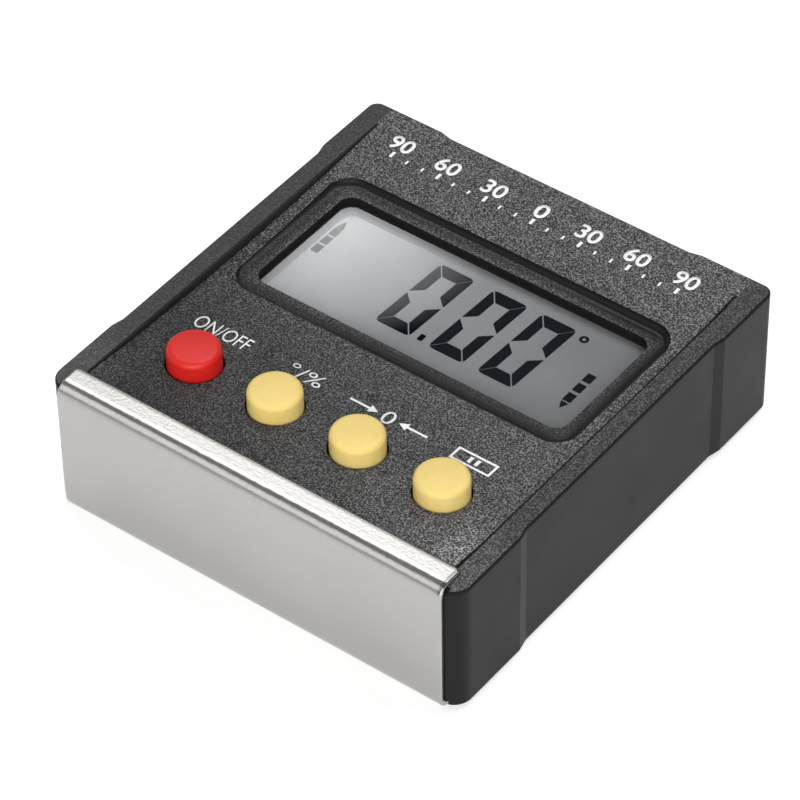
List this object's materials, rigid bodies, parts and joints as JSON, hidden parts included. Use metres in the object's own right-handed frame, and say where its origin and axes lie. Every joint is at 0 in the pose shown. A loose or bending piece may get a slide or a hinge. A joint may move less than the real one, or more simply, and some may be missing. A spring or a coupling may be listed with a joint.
{
  "type": "inclinometer",
  "caption": "Small box-shaped digital inclinometer with a display, push buttons, a sliding battery door and a magnetic steel base channel.",
  "frame": {"origin": "middle of the footprint, at the lowest face, with the meter lying on its back", "axes": "+Z out of the display, +X along the steel base, the steel base faces -Y"},
  "size_m": [0.06, 0.0644, 0.0217],
  "materials": {
    "housing_black": "spark-eroded black ABS, fine grain on the top, satin on the sides",
    "cover_black": "satin black ABS",
    "base_steel": "ground magnetic stainless sheet with bright bends",
    "adhesive_film": "thin double-sided film",
    "magnet_nickel": "nickel-plated magnet",
    "clear_window": "clear hard-coated window",
    "cell_glass": "display cell glass",
    "polariser": "grey polarising film",
    "reflector": "silver-grey reflector film",
    "holder_black": "plain black moulding",
    "elastomer": "layered conductive elastomer",
    "board_green": "green solder mask",
    "chip_black": "moulded chip package",
    "sensor_grey": "ceramic sensor package",
    "can_metal": "plated can",
    "capacitor_tan": "ceramic chip",
    "resistor_black": "ceramic chip with glaze",
    "silicone_grey": "translucent grey silicone",
    "carbon_pill": "conductive carbon rubber",
    "key_red": "satin red moulding",
    "key_yellow": "satin pale yellow moulding",
    "cell_jacket": "printed jacket over a plated can",
    "contact_nickel": "nickel-plated spring strip",
    "spring_steel": "plated music wire",
    "lead_red": "red insulation",
    "lead_black": "black insulation",
    "screw_steel": "zinc-plated steel",
    "print_white": "white pad-printed ink",
    "display_ink": "dark segments of the display"
  },
  "bodies": {
    "meter": {"front_housing": "housing_black", "back_cover": "cover_black", "base_channel": "base_steel", "base_adhesive": "adhesive_film", "magnet_left": "magnet_nickel", "magnet_middle": "magnet_nickel", "magnet_right": "magnet_nickel", "display_window": "clear_window", "window_tape": "holder_black", "lcd_front_polariser": "polariser", "lcd_front_glass": "cell_glass", "lcd_rear_glass": "cell_glass", "lcd_reflector": "reflector", "lcd_frame": "holder_black", "zebra_strip": "elastomer", "circuit_board": "board_green", "microcontroller": "chip_black", "tilt_sensor": "sensor_grey", "crystal": "can_metal", "chip_capacitors": "capacitor_tan", "chip_resistors": "resistor_black", "rubber_keypad": "silicone_grey", "battery_front": "cell_jacket", "battery_rear": "cell_jacket", "contact_plus": "contact_nickel", "contact_minus": "contact_nickel", "battery_bridge": "contact_nickel", "spring_front": "spring_steel", "spring_rear": "spring_steel", "lead_red": "lead_red", "lead_black": "lead_black", "cover_screws": "screw_steel", "board_screws": "screw_steel"},
    "door": {"battery_door": "cover_black"},
    "button_power": {"key_power": "key_red", "pill_power": "carbon_pill"},
    "button_unit": {"key_unit": "key_yellow", "pill_unit": "carbon_pill"},
    "button_zero": {"key_zero": "key_yellow", "pill_zero": "carbon_pill"},
    "button_hold": {"key_hold": "key_yellow", "pill_hold": "carbon_pill"}
  },
  "joints": [
    {"name": "battery_door_slide", "type": "slide", "parent": "meter", "child": "door", "axis": [0, 1, 0], "range_m": [0, 0.0265]},
    {"name": "power_press", "type": "slide", "parent": "meter", "child": "button_power", "axis": [0, 0, -1], "range_m": [0, 0.001], "stiffness_N_per_m": 1500, "deforming": ["rubber_keypad"]},
    {"name": "unit_press", "type": "slide", "parent": "meter", "child": "button_unit", "axis": [0, 0, -1], "range_m": [0, 0.001], "stiffness_N_per_m": 1500, "deforming": ["rubber_keypad"]},
    {"name": "zero_press", "type": "slide", "parent": "meter", "child": "button_zero", "axis": [0, 0, -1], "range_m": [0, 0.001], "stiffness_N_per_m": 1500, "deforming": ["rubber_keypad"]},
    {"name": "hold_press", "type": "slide", "parent": "meter", "child": "button_hold", "axis": [0, 0, -1], "range_m": [0, 0.001], "stiffness_N_per_m": 1500, "deforming": ["rubber_keypad"]}
  ]
}
